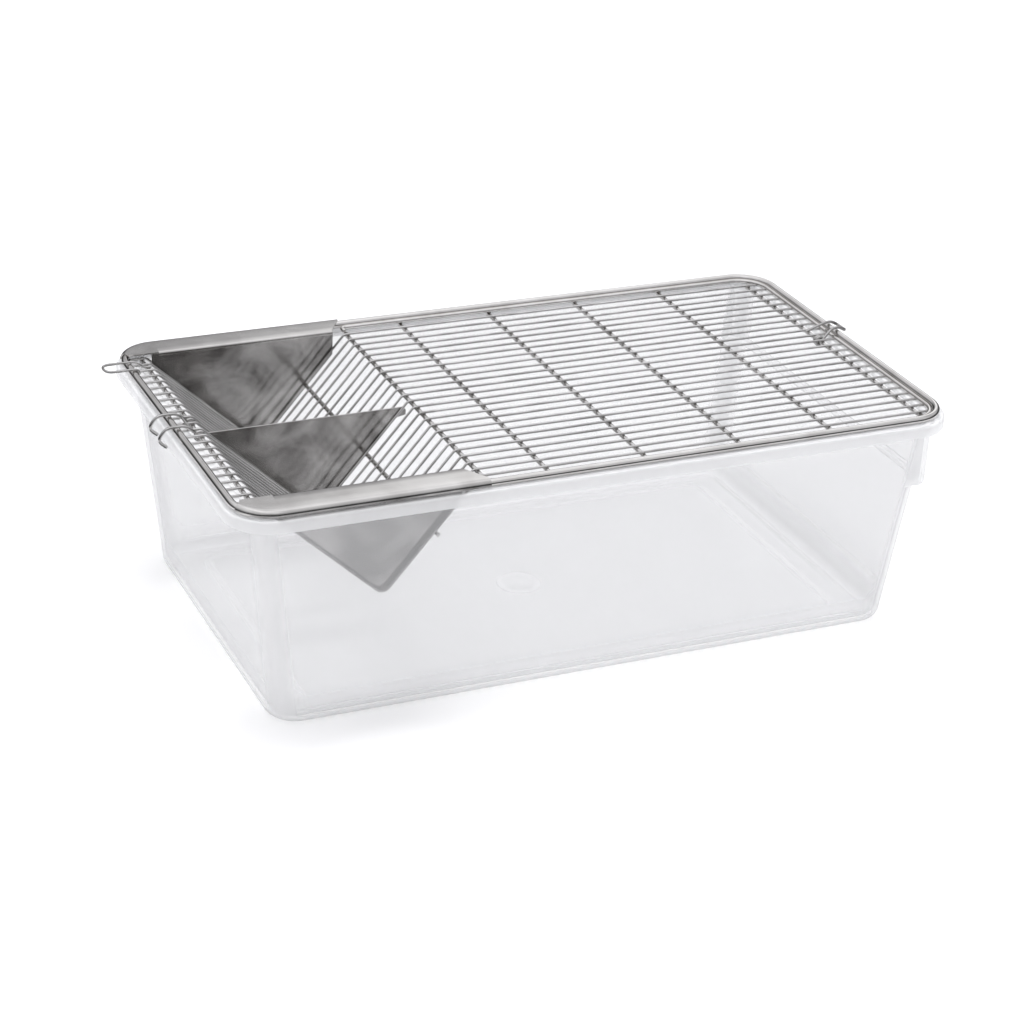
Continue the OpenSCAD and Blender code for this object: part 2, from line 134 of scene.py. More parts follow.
def tube(bm, points, r, sides=14, closed=False):
    """Round wire swept along points, with softly rounded ends when it is open."""
    pts = [Vector(p) for p in points]
    if not closed:
        first = (pts[0] - pts[1]).normalized()
        last = (pts[-1] - pts[-2]).normalized()
        head = [pts[0] - first * r * FULL_BACK, pts[0] - first * r * NEAR_TIP_BACK]
        tail = [pts[-1] - last * r * NEAR_TIP_BACK, pts[-1] - last * r * FULL_BACK]
        pts = [pts[0]] + head[::-1] + pts[1:-1] + tail[::-1] + [pts[-1]]
    n = len(pts)
    tangents = []
    for i in range(n):
        before = pts[i - 1] if closed or i > 0 else pts[i]
        after = pts[(i + 1) % n] if closed or i < n - 1 else pts[i]
        tangents.append((after - before).normalized())
    side = tangents[0].orthogonal().normalized()
    sides_at = [side]
    for i in range(1, n):
        side = side - tangents[i] * side.dot(tangents[i])
        side.normalize()
        sides_at.append(side)
    rings = []
    for i in range(n):
        rr = r
        if not closed and i in (0, n - 1):
            rr *= TIP
        elif not closed and i in (1, n - 2):
            rr *= NEAR_TIP
        u = sides_at[i]
        v = tangents[i].cross(u)
        ring = []
        for k in range(sides):
            a = 2 * math.pi * k / sides
            ring.append(bm.verts.new(pts[i] + (u * math.cos(a) + v * math.sin(a)) * rr))
        rings.append(ring)
    if closed:
        shift = min(
            range(sides),
            key=lambda s: sum((rings[-1][k].co - rings[0][(k + s) % sides].co).length
                              for k in range(sides)),
        )
        pairs = [(rings[i], rings[i + 1]) for i in range(n - 1)]
        pairs.append((rings[-1], rings[0][shift:] + rings[0][:shift]))
    else:
        pairs = [(rings[i], rings[i + 1]) for i in range(n - 1)]
        bm.faces.new(rings[0][::-1])
        bm.faces.new(rings[-1])
    for a, b in pairs:
        for k in range(sides):
            bm.faces.new((a[k], a[(k + 1) % sides], b[(k + 1) % sides], b[k]))


def rounded_path(points, reach, steps=8):
    """The points with each inner corner rounded, as far as reach from the corner."""
    pts = [Vector(p) for p in points]
    out = [pts[0]]
    for i in range(1, len(pts) - 1):
        a, b = pts[i - 1] - pts[i], pts[i + 1] - pts[i]
        c = min(reach, 0.48 * a.length, 0.48 * b.length)
        u, v = a.normalized(), b.normalized()
        for k in range(steps + 1):
            t = k / steps
            out.append(pts[i] + u * c * (1 - t) ** 2 + v * c * t**2)
    out.append(pts[-1])
    return out


def bead(bm, centre, size, turns=10, stacks=5):
    """Small lens-shaped weld, a little uneven."""
    cx, cy, cz = centre
    sx, sy, sz = (s * rng.uniform(0.85, 1.15) for s in size)
    twist = rng.uniform(0, math.pi)
    top = bm.verts.new((cx, cy, cz + sz))
    bottom = bm.verts.new((cx, cy, cz - sz))
    rings = []
    for i in range(1, stacks):
        p = math.pi * i / stacks
        ring = []
        for k in range(turns):
            a = twist + 2 * math.pi * k / turns
            w = rng.uniform(0.94, 1.06)
            ring.append(bm.verts.new((cx + sx * w * math.sin(p) * math.cos(a),
                                      cy + sy * w * math.sin(p) * math.sin(a),
                                      cz + sz * math.cos(p))))
        rings.append(ring)
    for k in range(turns):
        bm.faces.new((top, rings[0][k], rings[0][(k + 1) % turns]))
        bm.faces.new((bottom, rings[-1][(k + 1) % turns], rings[-1][k]))
        for a, b in zip(rings, rings[1:]):
            bm.faces.new((a[k], b[k], b[(k + 1) % turns], a[(k + 1) % turns]))


# ---- Materials ----


class Nodes:
    """A material's node tree, with short calls for the nodes that the materials share."""

    def __init__(self, name):
        self.material = bpy.data.materials.new(name)
        self.material.use_nodes = True
        self.tree = self.material.node_tree
        self.tree.nodes.clear()
        self.output = self.add("ShaderNodeOutputMaterial")
        self.coords = self.add("ShaderNodeTexCoord")

    def add(self, kind, **values):
        node = self.tree.nodes.new(kind)
        for key, value in values.items():
            setattr(node, key, value)
        return node

    def link(self, a, b):
        self.tree.links.new(a, b)

    def noise(self, scale, detail=3, stretch=(1, 1, 1), distortion=0.0):
        """Noise fixed to the piece; stretch draws it out into lines."""
        mapping = self.add("ShaderNodeMapping")
        mapping.inputs["Scale"].default_value = stretch
        self.link(self.coords.outputs["Object"], mapping.inputs["Vector"])
        node = self.add("ShaderNodeTexNoise")
        node.inputs["Scale"].default_value = scale
        node.inputs["Detail"].default_value = detail
        node.inputs["Distortion"].default_value = distortion
        self.link(mapping.outputs["Vector"], node.inputs["Vector"])
        return node.outputs["Fac"]

    def spread(self, source, lo, hi, from_lo=0.3, from_hi=0.7):
        """Maps a value from one range to another."""
        node = self.add("ShaderNodeMapRange")
        node.inputs["From Min"].default_value = from_lo
        node.inputs["From Max"].default_value = from_hi
        node.inputs["To Min"].default_value = lo
        node.inputs["To Max"].default_value = hi
        self.link(source, node.inputs["Value"])
        return node.outputs["Result"]

    def ramp(self, source, stops):
        node = self.add("ShaderNodeValToRGB")
        elements = node.color_ramp.elements
        while len(elements) < len(stops):
            elements.new(0.5)
        for element, (place, colour) in zip(elements, stops):
            element.position = place
            element.color = (*colour, 1)
        self.link(source, node.inputs["Fac"])
        return node.outputs["Color"]

    def bump(self, source, strength, distance, below=None):
        node = self.add("ShaderNodeBump")
        node.inputs["Strength"].default_value = strength
        node.inputs["Distance"].default_value = distance
        self.link(source, node.inputs["Height"])
        if below is not None:
            self.link(below, node.inputs["Normal"])
        return node.outputs["Normal"]


def steel(name, dark, light, rough, stretch, line_scale=900, line_bump=0.25, dent_scale=60,
          dent=0.0004, dent_strength=0.25):
    """Polished or satin stainless: drawn or rolled lines, cloudy gloss and shallow dents."""
    m = Nodes(name)
    bsdf = m.add("ShaderNodeBsdfPrincipled")
    bsdf.inputs["Metallic"].default_value = 1.0
    lines = m.noise(line_scale, 4, stretch)
    clouds = m.noise(35, 3, (1, 1, 1), 0.6)
    dents = m.noise(dent_scale, 2, (1, 1, 1), 0.3)
    m.link(m.ramp(clouds, [(0.3, dark), (0.7, light)]), bsdf.inputs["Base Color"])
    mix = m.add("ShaderNodeMath", operation="MULTIPLY_ADD")
    m.link(m.spread(lines, -0.04, 0.04), mix.inputs[0])
    mix.inputs[1].default_value = 1.0
    m.link(m.spread(clouds, rough[0], rough[1]), mix.inputs[2])
    m.link(mix.outputs["Value"], bsdf.inputs["Roughness"])
    big = m.bump(dents, dent_strength, dent)
    m.link(m.bump(lines, line_bump, 0.00005, big), bsdf.inputs["Normal"])
    m.link(bsdf.outputs["BSDF"], m.output.inputs["Surface"])
    return m.material


def weld_stain_and_shade():
    """Dull, heat-stained weld metal, near black in places: partly heat stain, partly painted shade
    where wire and rod meet.
    """
    m = Nodes("weld_stain_and_shade")
    bsdf = m.add("ShaderNodeBsdfPrincipled")
    bsdf.inputs["Metallic"].default_value = 1.0
    spots = m.noise(700, 3)
    # Near-black low end: painted shade at the crossings, on top of the heat staining.
    colour = m.ramp(spots, [(0.3, (0.07, 0.065, 0.06)), (0.55, (0.16, 0.15, 0.14)),
                            (0.75, (0.34, 0.33, 0.32))])
    m.link(colour, bsdf.inputs["Base Color"])
    m.link(m.spread(spots, 0.3, 0.55), bsdf.inputs["Roughness"])
    m.link(m.bump(m.noise(1500, 2), 0.4, 0.0001), bsdf.inputs["Normal"])
    m.link(bsdf.outputs["BSDF"], m.output.inputs["Surface"])
    return m.material


# What the clear plastic lets through, per surface; the floor lets through less, up to these
# heights in metres: a painted shadow that darkens the table seen through it, in place of the tub's own
# shadow.
THROUGH_LOW, THROUGH_HIGH = (0.960, 0.960, 0.961), (0.966, 0.966, 0.967)
FLOOR_SHADOW_THROUGH = 0.95
FLOOR_SHADOW_FROM_Z, FLOOR_SHADOW_TO_Z = 0.003, 0.006
# Share of milky scatter face on, along the glancing edge, and what a bend adds: that extra white on
# folds and corners is a painted highlight.
MILK_FACE, MILK_EDGE, BEND_HIGHLIGHT_SHARE = 0.20, 0.30, 0.34
# Share of mirror gloss face on and along the glancing edge, and how late the edge comes.
GLOSS_FACE, GLOSS_EDGE, EDGE_POWER = 0.02, 0.50, 6.5


def clear_plastic():
    """Clear moulded plastic: grey through its faces, whiter on folds, lips and corners as a painted
    highlight, and a little darker through the floor as a painted shadow.
    """
    m = Nodes("clear_plastic")
    waves = m.noise(14, 2, (1, 1, 0.6), 0.4)
    haze = m.noise(220, 4)
    normal = m.bump(waves, 0.03, 0.001)
    bend_highlight = m.add("ShaderNodeAttribute", attribute_name="bend_highlight").outputs["Fac"]
    facing = m.add("ShaderNodeLayerWeight")
    facing.inputs["Blend"].default_value = 0.5
    glance = m.add("ShaderNodeMath", operation="POWER")
    glance.inputs[1].default_value = EDGE_POWER
    m.link(facing.outputs["Facing"], glance.inputs[0])
    through = m.add("ShaderNodeBsdfTransparent")
    height = m.add("ShaderNodeSeparateXYZ")
    m.link(m.coords.outputs["Object"], height.inputs["Vector"])
    tint_and_floor_shadow = m.add("ShaderNodeVectorMath", operation="SCALE")
    m.link(m.ramp(haze, [(0.3, THROUGH_LOW), (0.7, THROUGH_HIGH)]), tint_and_floor_shadow.inputs[0])
    # Painted shadow: the tub's floor lets less through, so the table below looks shaded.
    floor_shadow_share = m.spread(height.outputs["Z"], FLOOR_SHADOW_THROUGH, 1.0, FLOOR_SHADOW_FROM_Z, FLOOR_SHADOW_TO_Z)
    m.link(floor_shadow_share, tint_and_floor_shadow.inputs["Scale"])
    m.link(tint_and_floor_shadow.outputs["Vector"], through.inputs["Color"])
    milk = m.add("ShaderNodeBsdfPrincipled")
    m.link(m.ramp(haze, [(0.3, (0.935, 0.937, 0.945)), (0.7, (0.955, 0.957, 0.963))]),
           milk.inputs["Base Color"])
    m.link(m.spread(haze, 0.34, 0.40), milk.inputs["Roughness"])
    m.link(normal, milk.inputs["Normal"])
    gloss = m.add("ShaderNodeBsdfGlossy")
    gloss.inputs["Color"].default_value = (1, 1, 1, 1)
    m.link(m.spread(haze, 0.06, 0.12), gloss.inputs["Roughness"])
    m.link(normal, gloss.inputs["Normal"])
    # Milky share plus the painted highlight on folds and corners.
    cloudy = m.add("ShaderNodeMath", operation="ADD")
    m.link(m.spread(glance.outputs["Value"], MILK_FACE, MILK_EDGE, 0.0, 1.0), cloudy.inputs[0])
    m.link(m.spread(bend_highlight, 0.0, BEND_HIGHLIGHT_SHARE, 0.0, 1.0), cloudy.inputs[1])
    body = m.add("ShaderNodeMixShader")
    m.link(cloudy.outputs["Value"], body.inputs["Fac"])
    m.link(through.outputs["BSDF"], body.inputs[1])
    m.link(milk.outputs["BSDF"], body.inputs[2])
    skin = m.add("ShaderNodeMixShader")
    m.link(m.spread(glance.outputs["Value"], GLOSS_FACE, GLOSS_EDGE, 0.0, 1.0), skin.inputs["Fac"])
    m.link(body.outputs["Shader"], skin.inputs[1])
    m.link(gloss.outputs["BSDF"], skin.inputs[2])
    m.link(skin.outputs["Shader"], m.output.inputs["Surface"])
    return m.material


FRAME_STEEL = steel("frame_steel", (0.66, 0.645, 0.625), (0.80, 0.785, 0.77), (0.06, 0.13), (1, 1, 1))
ROD_STEEL = steel("rod_steel", (0.66, 0.65, 0.635), (0.80, 0.79, 0.775), (0.07, 0.15), (6, 0.4, 6))
WIRE_STEEL = steel("wire_steel", (0.48, 0.472, 0.463), (0.72, 0.712, 0.702), (0.04, 0.10),
                   (0.4, 6, 6))
# Lighter copy of the sheet steel for caps and top edges: painted light where the tops face the
# overhead studio.
LIT_SHEET_STEEL = steel("lit_sheet_steel", (0.56, 0.547, 0.53), (0.72, 0.707, 0.69), (0.14, 0.22),
                  (0.15, 3, 3), line_scale=700, line_bump=0.02, dent_scale=9, dent=0.003,
                  dent_strength=0.10)
# Darker copy of the same steel for the V faces: painted shade, with its wide cloud spread painting
# dark reflections in patches.
SHADED_SHEET_STEEL = steel("sheet_steel", (0.19, 0.183, 0.177), (0.56, 0.548, 0.534), (0.10, 0.20),
                    (0.15, 3, 3), line_scale=700, line_bump=0.0, dent_scale=7, dent=0.012,
                    dent_strength=0.45)
FITTING_STEEL = steel("fitting_steel", (0.46, 0.455, 0.445), (0.64, 0.63, 0.62), (0.10, 0.20),
                      (1, 1, 1), line_scale=1200)
WELD_STAIN_AND_SHADE = weld_stain_and_shade()
PLASTIC = clear_plastic()


# ---- Tub ----

RIM_CORNER = FRAME_CORNER + 5
RIM_T, LIP_H, LIP_T, WALL, FLOOR_T = 2.6, 8.0, 2.2, 2.5, 2.5
MOUTH_HX, MOUTH_HY, MOUTH_CORNER = FRAME_CX - 9, FRAME_CY - 2, 16.0
BASE_HX, BASE_HY, BASE_CORNER, BASE_EDGE = 215.0, 122.5, 21.0, 7.0
SHOULDER_HX, SHOULDER_Z, SHOULDER_WRAP = MOUTH_HX + WALL + 0.5, 101.5, 14.0
RIDGE_HX, RIDGE_HY, RIDGE_W, RIDGE_H = 190.0, 105.0, 5.0, 1.2
MARK_R, MARK_H = 15.0, 0.7
CORNER_STEPS = 16
# The shoulder ends this far round the corner: its radius there, and the angles close to its end.
WRAP_R, WRAP_HALF_STEP, WRAP_CLEAR = 20.0, 0.5, 1.6


def loop_angles():
    """Angles in each corner; the two right-hand corners get a tight pair at the shoulder's end."""
    at_end = math.degrees(math.acos(1 - SHOULDER_WRAP / WRAP_R))
    plain = [90 * k / CORNER_STEPS for k in range(CORNER_STEPS + 1)]
    pair = [at_end - WRAP_HALF_STEP, at_end + WRAP_HALF_STEP]
    first = sorted([a for a in plain if abs(a - at_end) > WRAP_CLEAR] + pair)
    return [first, plain, plain, [90 - a for a in reversed(first)]], at_end


ANGLES, SHOULDER_AT = loop_angles()


def loop(hx, hy, r, z, bulge=0.0, bulge_hy=0.0):
    """Rounded rectangle; bulge moves the right end out to the shoulder's outline."""
    out = []
    for quarter, (sx, sy) in enumerate(((1, 1), (-1, 1), (-1, -1), (1, -1))):
        for a in ANGLES[quarter]:
            t = math.radians(90 * quarter + a)
            x, y = sx * (hx - r) + r * math.cos(t), sy * (hy - r) + r * math.sin(t)
            near_end = (quarter == 0 and a < SHOULDER_AT) or (
                quarter == 3 and a > 90 - SHOULDER_AT)
            if bulge and near_end:
                br = MOUTH_CORNER
                x = bulge - br + br * math.cos(t)
                y = sy * (bulge_hy - br) + br * math.sin(t)
            out.append((x, y, z))
    return out


def wall_at(z, inside):
    """Half sizes and corner radius of the tub's wall at height z."""
    low, high = BASE_EDGE, RIM_Z - RIM_T
    t = (z - low) / (high - low)
    inset = WALL if inside else 0.0
    hx = BASE_HX + 0.5 + t * (MOUTH_HX + WALL - BASE_HX - 0.5) - inset
    hy = BASE_HY + 0.3 + t * (MOUTH_HY + WALL - BASE_HY - 0.3) - inset
    r = BASE_CORNER + t * (MOUTH_CORNER + WALL - BASE_CORNER) - inset
    return hx, hy, r


def tub_rings():
    """Rings of the tub's skin: from the floor's middle out, up the inside, over the lip and down.

    Beside each bend a tight pair of rings keeps the flat stretches flat.
    """
    rings = []
    floor = FLOOR_T
    rings.append(loop(MARK_R - 6, MARK_R - 6, MARK_R - 6.1, floor + MARK_H * 0.4))
    rings.append(loop(MARK_R - 5.4, MARK_R - 5.4, MARK_R - 5.5, floor + MARK_H))
    rings.append(loop(MARK_R - 0.8, MARK_R - 0.8, MARK_R - 0.9, floor + MARK_H))
    rings.append(loop(MARK_R - 0.3, MARK_R - 0.3, MARK_R - 0.4, floor + MARK_H * 0.8))
    for grow in (0, 0.6):
        rings.append(loop(MARK_R + grow, MARK_R + grow, MARK_R - 0.1 + grow, floor))
    for inset, height in ((RIDGE_W + 1.2, 0), (RIDGE_W + 0.5, 0), (RIDGE_W, 0.3),
                          (RIDGE_W - 0.6, 0.9), (RIDGE_W - 1.2, 1), (1.2, 1), (0.6, 0.9), (0, 0.3),
                          (-0.5, 0), (-1.2, 0)):
        rings.append(loop(RIDGE_HX - inset, RIDGE_HY - inset, 14 - inset, floor + height * RIDGE_H))
    hx, hy, r = wall_at(BASE_EDGE, True)
    inset = BASE_EDGE + 1
    rings.append(loop(hx - inset, hy - inset, 9, floor))
    for k in range(7):
        a = math.radians(15 * k)
        inset = BASE_EDGE * (1 - math.sin(a))
        rings.append(loop(hx - inset, hy - inset, max(r - inset, 9),
                          floor + BASE_EDGE * (1 - math.cos(a))))
    step_in = SHOULDER_Z + WALL
    for z in (BASE_EDGE + floor + 1, 25, 45, 70, 90, step_in - 2.4, step_in - 1.6):
        rings.append(loop(*wall_at(z, True), z))
    end_in = (SHOULDER_HX - WALL, MOUTH_HY)
    for z, share in ((step_in - 0.8, 0.15), (step_in - 0.2, 0.6), (step_in + 0.6, 1.0)):
        hx, hy, r = wall_at(z, True)
        rings.append(loop(hx, hy, r, z, hx + share * (end_in[0] - hx), hy + share * (end_in[1] - hy)))
    for z in (step_in + 1.4, 115, 130, RIM_Z - 2.2, RIM_Z - 1.4):
        rings.append(loop(*wall_at(z, True), z, *end_in))
    lip_hx, lip_hy = RIM_HX, RIM_HY
    edge = wall_at(RIM_Z, True)
    rings.append(loop(edge[0] + 0.3, edge[1] + 0.3, edge[2], RIM_Z - 0.5, end_in[0] + 0.3,
                      end_in[1] + 0.3))
    rings.append(loop(edge[0] + 1.3, edge[1] + 1.3, edge[2] + 1, RIM_Z, end_in[0] + 1.3,
                      end_in[1] + 1.3))
    for inset, drop in ((1.8, 0), (0.9, 0.15), (0.25, 0.7), (0, 1.6), (0, LIP_H - 0.7),
                        (0.2, LIP_H - 0.15), (0.7, LIP_H), (LIP_T - 0.6, LIP_H),
                        (LIP_T - 0.1, LIP_H - 0.3), (LIP_T, LIP_H - 0.9), (LIP_T, RIM_T + 0.9),
                        (LIP_T + 0.9, RIM_T)):
        rings.append(loop(lip_hx - inset, lip_hy - inset, RIM_CORNER - inset, RIM_Z - drop))
    end_out = (SHOULDER_HX, MOUTH_HY + WALL)
    under = RIM_Z - RIM_T
    for grow, drop in ((1.8, 0), (1.2, 0), (0.3, 0.4), (0, 1.4), (0, 2.2)):
        hx, hy, r = wall_at(under - drop, False)
        rings.append(loop(hx + grow, hy + grow, r + grow, under - drop, end_out[0] + grow,
                          end_out[1] + grow))
    for z in (130, 115, SHOULDER_Z + 1.7, SHOULDER_Z + 0.9):
        rings.append(loop(*wall_at(z, False), z, *end_out))
    for z, share in ((SHOULDER_Z + 0.25, 0.94), (SHOULDER_Z, 0.75), (SHOULDER_Z - 0.1, 0.2),
                     (SHOULDER_Z - 0.9, 0.0)):
        hx, hy, r = wall_at(z, False)
        bulge = (hx + share * (end_out[0] - hx), hy + share * (end_out[1] - hy)) if share else (0, 0)
        rings.append(loop(hx, hy, r, z, *bulge))
    for z in (SHOULDER_Z - 1.7, 90, 70, 45, 25, BASE_EDGE + 1, BASE_EDGE):
        rings.append(loop(*wall_at(z, False), z))
    hx, hy, r = wall_at(BASE_EDGE, False)
    for k in range(1, 7):
        a = math.radians(15 * k)
        inset = BASE_EDGE * (1 - math.cos(a))
        rings.append(loop(hx - inset, hy - inset, max(r - inset, 10),
                          BASE_EDGE * (1 - math.sin(a))))
    inset = BASE_EDGE + 1
    rings.append(loop(hx - inset, hy - inset, 9, 0.0))
    return rings


FLAT_DEG, FOLD_DEG = 6, 15


def mark_bend_highlight(obj):
    """Stores, point by point, how far the plastic is bent, peaking mid-corner: 1 on folds and corners,
    0 on flat walls. The plastic whitens by it: a painted highlight.
    """
    mesh = obj.data
    bm = bmesh.new()
    bm.from_mesh(mesh)
    bm.normal_update()
    bend_highlight = [0.0] * len(mesh.vertices)
    for vert in bm.verts:
        spread = max(a.normal.angle(b.normal, 0.0) for a in vert.link_faces for b in vert.link_faces)
        fold = (math.degrees(spread) - FLAT_DEG) / (FOLD_DEG - FLAT_DEG)
        corner = abs(2 * vert.normal.x * vert.normal.y) ** 3
        bend_highlight[vert.index] = max(0.0, corner, min(1.0, fold))
    bm.free()
    values = mesh.attributes.new("bend_highlight", "FLOAT", "POINT")
    for k, bend in enumerate(bend_highlight):
        values.data[k].value = bend


def make_tub():
    bm = bmesh.new()
    rings = [[bm.verts.new(p) for p in ring] for ring in tub_rings()]
    n = len(rings[0])
    bm.faces.new(rings[0])
    bm.faces.new(rings[-1][::-1])
    for a, b in zip(rings, rings[1:]):
        for k in range(n):
            bm.faces.new((a[k], a[(k + 1) % n], b[(k + 1) % n], b[k]))
    obj = finish_object("tub_shell", bm, "tub_body", PLASTIC, ["tub"], 50)
    mark_bend_highlight(obj)
    # The milky share would block the overhead light, where real plastic scatters it on.
    obj.visible_shadow = False
    return obj


# ---- Lid: rods and wires ----


def make_frame_ring():
    hx, hy, r = FRAME_CX, FRAME_CY, FRAME_CORNER
    path = []
    for quarter, (sx, sy) in enumerate(((1, 1), (-1, 1), (-1, -1), (1, -1))):
        path += arc(sx * (hx - r), sy * (hy - r), r, 90 * quarter, 90 * quarter + 90, 14)
    bm = bmesh.new()
    tube(bm, [(x, y, FRAME_Z) for x, y in path], FRAME_R, 24, True)
    return finish_object("lid_frame_ring", bm, "lid", FRAME_STEEL, ["lid_frame_rod"])


def make_locating_rod():
    start_x = box_mm("locating_rod")[0].x + ROD_R
    tail_y, corner = 7.0, FRAME_CORNER - FRAME_R - ROD_R
    hx, hy = LOCATING_CX, LOCATING_CY
    flat = [(start_x, -hy + tail_y), (start_x, -hy + 3)]
    flat += arc(start_x + 3, -hy + 3, 3, 180, 270, 6)
    flat += arc(hx - corner, -hy + corner, corner, 270, 360, 12)
    flat += arc(hx - corner, hy - corner, corner, 0, 90, 12)
    flat += arc(start_x + 3, hy - 3, 3, 90, 180, 6)
    flat += [(start_x, hy - 3), (start_x, hy - tail_y)]
    clean = [flat[0]] + [b for a, b in zip(flat, flat[1:]) if math.dist(a, b) > 1e-3]
    bm = bmesh.new()
    tube(bm, [(x, y, LOCATING_Z) for x, y in clean], ROD_R, 18)
    return finish_object("locating_rod_bent", bm, "lid", FRAME_STEEL, ["locating_rod"])


def make_y_rod(node):
    """Straight rod across the lid."""
    lo, hi = box_mm(node)
    x, z = middle(node)
    bm = bmesh.new()
    steps = 24
    path = [(x, lo.y + k / steps * (hi.y - lo.y), z) for k in range(steps + 1)]
    tube(bm, path, ROD_R, 18)
    return finish_object(node + "_bar", bm, "lid", ROD_STEEL, [node])


def reach_at(y, hx, hy, corner):
    """How far out along X a rounded rectangle runs at y."""
    over = abs(y) - (hy - corner)
    return hx if over <= 0 else hx - corner + math.sqrt(corner**2 - over**2)


def wire_ends(y):
    """Where the long wire at y starts on the frame and ends on the locating rod, along X."""
    start = 1.9 - reach_at(y, FRAME_CX, FRAME_CY, FRAME_CORNER)
    corner = FRAME_CORNER - FRAME_R - ROD_R
    return start, reach_at(y, LOCATING_CX, LOCATING_CY, corner) - 0.9


def v_profile(inset=0.0, steps=10):
    """Round the hopper's bottom, from its left slope to its right one, in X and Z."""
    half = (math.pi - LEFT_SLOPE - RIGHT_SLOPE) / 2
    reach = BOTTOM_R / math.sin(half)
    lean = math.pi / 2 + (RIGHT_SLOPE - LEFT_SLOPE) / 2
    cx, cz = BOTTOM_X + reach * math.cos(lean), BOTTOM_Z + reach * math.sin(lean)
    ls, rs = math.degrees(LEFT_SLOPE), math.degrees(RIGHT_SLOPE)
    return arc(cx, cz, BOTTOM_R - inset, 270 - ls, 270 + rs, steps)


def wire_profile():
    """The long wire's path in X and Z: down into the hopper, up, and on to the deck."""
    left_cut = BEND_R * math.tan(LEFT_SLOPE / 2)
    right_cut = BEND_R * math.tan(RIGHT_SLOPE / 2)
    ls, rs = math.degrees(LEFT_SLOPE), math.degrees(RIGHT_SLOPE)
    path = arc(LEFT_BEND_X - left_cut, WIRE_Z - BEND_R, BEND_R, 90, 90 - ls, 6)
    path += v_profile()
    path += arc(RIGHT_BEND_X + right_cut, WIRE_Z - BEND_R, BEND_R, 90 + rs, 90, 6)
    return path


def make_long_wires():
    bm = bmesh.new()
    profile = wire_profile()
    deck_start = profile[-1][0]
    steps = 34
    for y in WIRE_YS:
        phase = [rng.uniform(0, 6.28) for _ in range(3)]
        start_x, end_x = wire_ends(y)
        points = [(start_x, y, WIRE_Z)] + [(x, y, z) for x, z in profile]
        for k in range(1, steps + 1):
            t = k / steps
            x = deck_start + t * (end_x - deck_start)
            fade = math.sin(math.pi * t)
            wander = 0.16 * math.sin(x / 21 + phase[0]) + 0.10 * math.sin(x / 9.5 + phase[1])
            points.append((x, y + wander * fade, WIRE_Z + 0.05 * fade * math.sin(x / 13 + phase[2])))
        tube(bm, points, WIRE_R, 12)
    nodes = ["shelf_wires", "hopper_left_wires", "hopper_right_wires", "deck_wires"]
    return finish_object("long_wires", bm, "lid", WIRE_STEEL, nodes)


Y_RODS = ["cross_rod_%d" % i for i in range(1, 6)] + ["hopper_left_rod", "hopper_right_rod",
                                                      "hopper_middle_rod"]


def make_welds():
    """A bead where each wire crosses a rod, at each wire's ends and at each rod's ends."""
    bm = bmesh.new()
    for node in Y_RODS:
        x, z = middle(node)
        end_y = box_mm(node)[1].y - 0.6
        for y in WIRE_YS:
            if node == "hopper_middle_rod":
                place = (x - ROD_R * math.sin(RIGHT_SLOPE), y, z + ROD_R * math.cos(RIGHT_SLOPE))
                bead(bm, place, (1.0, 1.35, 1.0))
            else:
                size = 0.8 if node == "hopper_left_rod" else 1.2
                bead(bm, (x, y, z + ROD_R - 0.1), (size, size, 0.5))
        for s in (-1, 1):
            if node != "hopper_middle_rod":
                bead(bm, (x, s * end_y, z + ROD_R), (1.5, 1.5, 0.9))
    for y in WIRE_YS:
        start_x, end_x = wire_ends(y)
        bead(bm, (start_x + 0.5, y, WIRE_Z + 0.15), (0.9, 1.45, 1.15))
        bead(bm, (end_x + 0.2, y, WIRE_Z + 0.2), (1.0, 1.35, 1.05))
    return finish_object("weld_beads", bm, "lid", WELD_STAIN_AND_SHADE)


# ---- Hopper sheet parts ----


def left_at(z):
    """The left slope's X at height z."""
    return LEFT_BEND_X + (WIRE_Z - z) / math.tan(LEFT_SLOPE)


def right_at(z):
    """The right slope's X at height z."""
    return RIGHT_BEND_X - (WIRE_Z - z) / math.tan(RIGHT_SLOPE)


def soften(obj, width=0.22, segments=2):
    """Bevels the sheet's cut edges."""
    edge = obj.modifiers.new("edge", "BEVEL")
    edge.width = width * MM
    edge.segments = segments
    edge.limit_method = "ANGLE"
    edge.angle_limit = math.radians(50)


def closed_sheet(bm, outer, inner):
    """Solid between two grids of points of the same shape, one row per station."""
    top = [[bm.verts.new(p) for p in row] for row in outer]
    low = [[bm.verts.new(p) for p in row] for row in inner]
    rows, cols = len(top), len(top[0])
    for i in range(rows - 1):
        for k in range(cols - 1):
            bm.faces.new((top[i][k], top[i][k + 1], top[i + 1][k + 1], top[i + 1][k]))
            bm.faces.new((low[i][k], low[i + 1][k], low[i + 1][k + 1], low[i][k + 1]))
        for k in (0, cols - 1):
            bm.faces.new((top[i][k], top[i + 1][k], low[i + 1][k], low[i][k]))
    for i in (0, rows - 1):
        for k in range(cols - 1):
            bm.faces.new((top[i][k], top[i][k + 1], low[i][k + 1], low[i][k]))


def prism(bm, outline, y0, y1):
    """Solid from an outline in X and Z, between two places along Y."""
    front = [bm.verts.new((x, y0, z)) for x, z in outline]
    back = [bm.verts.new((x, y1, z)) for x, z in outline]
    bm.faces.new(front)
    bm.faces.new(back[::-1])
    n = len(outline)
    for k in range(n):
        bm.faces.new((front[k], back[k], back[(k + 1) % n], front[(k + 1) % n]))


# Right end of the cap on its inner and outer edge, and the fold from the cap down into the face.
PLATE_IN_X, PLATE_OUT_X = -94.0, -84.0
FOLD_R, FOLD_DROP = 1.6, 2.6
CAP_ROLL = FRAME_R + 0.05 + SHEET_T
CAP_TOP = FRAME_Z + CAP_ROLL
TURNED_EDGE = 2.0


